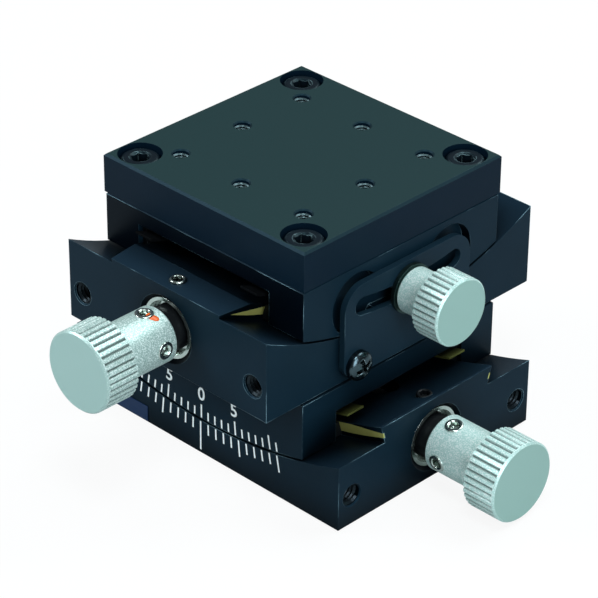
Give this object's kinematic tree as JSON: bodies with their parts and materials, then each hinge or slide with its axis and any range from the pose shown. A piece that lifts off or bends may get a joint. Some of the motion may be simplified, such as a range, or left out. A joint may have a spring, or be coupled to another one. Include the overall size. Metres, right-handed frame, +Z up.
{
  "type": "goniometer stage",
  "caption": "Goniometer stage: stacked curved dovetail slides with worm drive knobs, clamp knobs and a square table with tapped holes.",
  "frame": {"origin": "centre of the lower base's underside", "axes": "+Z up through the table, +X along the lower slide towards its drive knob, -Y along the upper slide towards its drive knob and towards the lower scale face"},
  "size_m": [0.0863, 0.091, 0.0516],
  "materials": {
    "black_anodised": "satin black anodised",
    "table_anodised": "satin black anodised, lit greenish grey",
    "brass": "machined brass",
    "blackened_steel": "blackened",
    "steel": "ground",
    "bright_steel": "bright nickel",
    "black_screw": "black oxide",
    "knob_aluminium": "clear anodised, bead blasted hub",
    "black_plate": "satin black sheet",
    "washer_steel": "plated",
    "foil": "printed blue foil, bare"
  },
  "bodies": {
    "base": {"lower_base": "black_anodised", "lower_slide_strips": "brass", "lower_front_bush": "bright_steel", "lower_rear_bush": "bright_steel", "lower_lock_screw": "bright_steel", "lower_clamp_plate": "black_plate", "lower_plate_screws": "black_screw", "foil_plate": "foil"},
    "lower_stage": {"lower_stage_block": "black_anodised", "lower_stage_gibs": "blackened_steel", "lower_stage_leaves": "brass", "lower_worm_rack": "blackened_steel", "upper_base": "black_anodised", "upper_slide_strips": "brass", "upper_front_bush": "bright_steel", "upper_rear_bush": "bright_steel", "upper_lock_screw": "bright_steel", "upper_clamp_plate": "black_plate", "upper_plate_screws": "black_screw", "joining_screws": "black_screw"},
    "upper_stage": {"upper_stage_block": "black_anodised", "upper_stage_gibs": "blackened_steel", "upper_stage_leaves": "brass", "upper_worm_rack": "blackened_steel", "table_plate": "table_anodised", "table_screws": "black_screw"},
    "lower_drive": {"lower_worm_shaft": "steel", "lower_drive_spacer": "blackened_steel", "lower_thrust_collar": "steel", "lower_drive_knob": "knob_aluminium", "lower_knob_screws": "bright_steel"},
    "upper_drive": {"upper_worm_shaft": "steel", "upper_drive_spacer": "blackened_steel", "upper_thrust_collar": "steel", "upper_drive_knob": "knob_aluminium", "upper_knob_screws": "bright_steel"},
    "lower_clamp": {"lower_clamp_knob": "knob_aluminium", "lower_clamp_washer": "washer_steel"},
    "upper_clamp": {"upper_clamp_knob": "knob_aluminium", "upper_clamp_washer": "washer_steel"}
  },
  "joints": [
    {"name": "lower_tilt", "type": "hinge", "parent": "base", "child": "lower_stage", "pos_m": [0, 0, 0.1016], "axis": [0, 1, 0], "range_deg": [-10, 10]},
    {"name": "upper_tilt", "type": "hinge", "parent": "lower_stage", "child": "upper_stage", "pos_m": [0, 0, 0.1016], "axis": [1, 0, 0], "range_deg": [-10, 10]},
    {"name": "lower_drive_spin", "type": "hinge", "parent": "base", "child": "lower_drive", "pos_m": [0.04, 0, 0.0082], "axis": [1, 0, 0], "range_deg": [-2230, 2230]},
    {"name": "upper_drive_spin", "type": "hinge", "parent": "lower_stage", "child": "upper_drive", "pos_m": [0, -0.04, 0.0302], "axis": [0, -1, 0], "range_deg": [-1680, 1680]},
    {"name": "lower_clamp_turn", "type": "hinge", "parent": "lower_stage", "child": "lower_clamp", "pos_m": [0, 0.03, 0.013], "axis": [0, 1, 0], "range_deg": [0, 180]},
    {"name": "upper_clamp_turn", "type": "hinge", "parent": "upper_stage", "child": "upper_clamp", "pos_m": [0.03, 0, 0.0356], "axis": [1, 0, 0], "range_deg": [0, 180]}
  ],
  "couplings": [
    {"joint": "lower_drive_spin", "follows": "lower_tilt", "ratio": 223},
    {"joint": "upper_drive_spin", "follows": "upper_tilt", "ratio": 168}
  ]
}
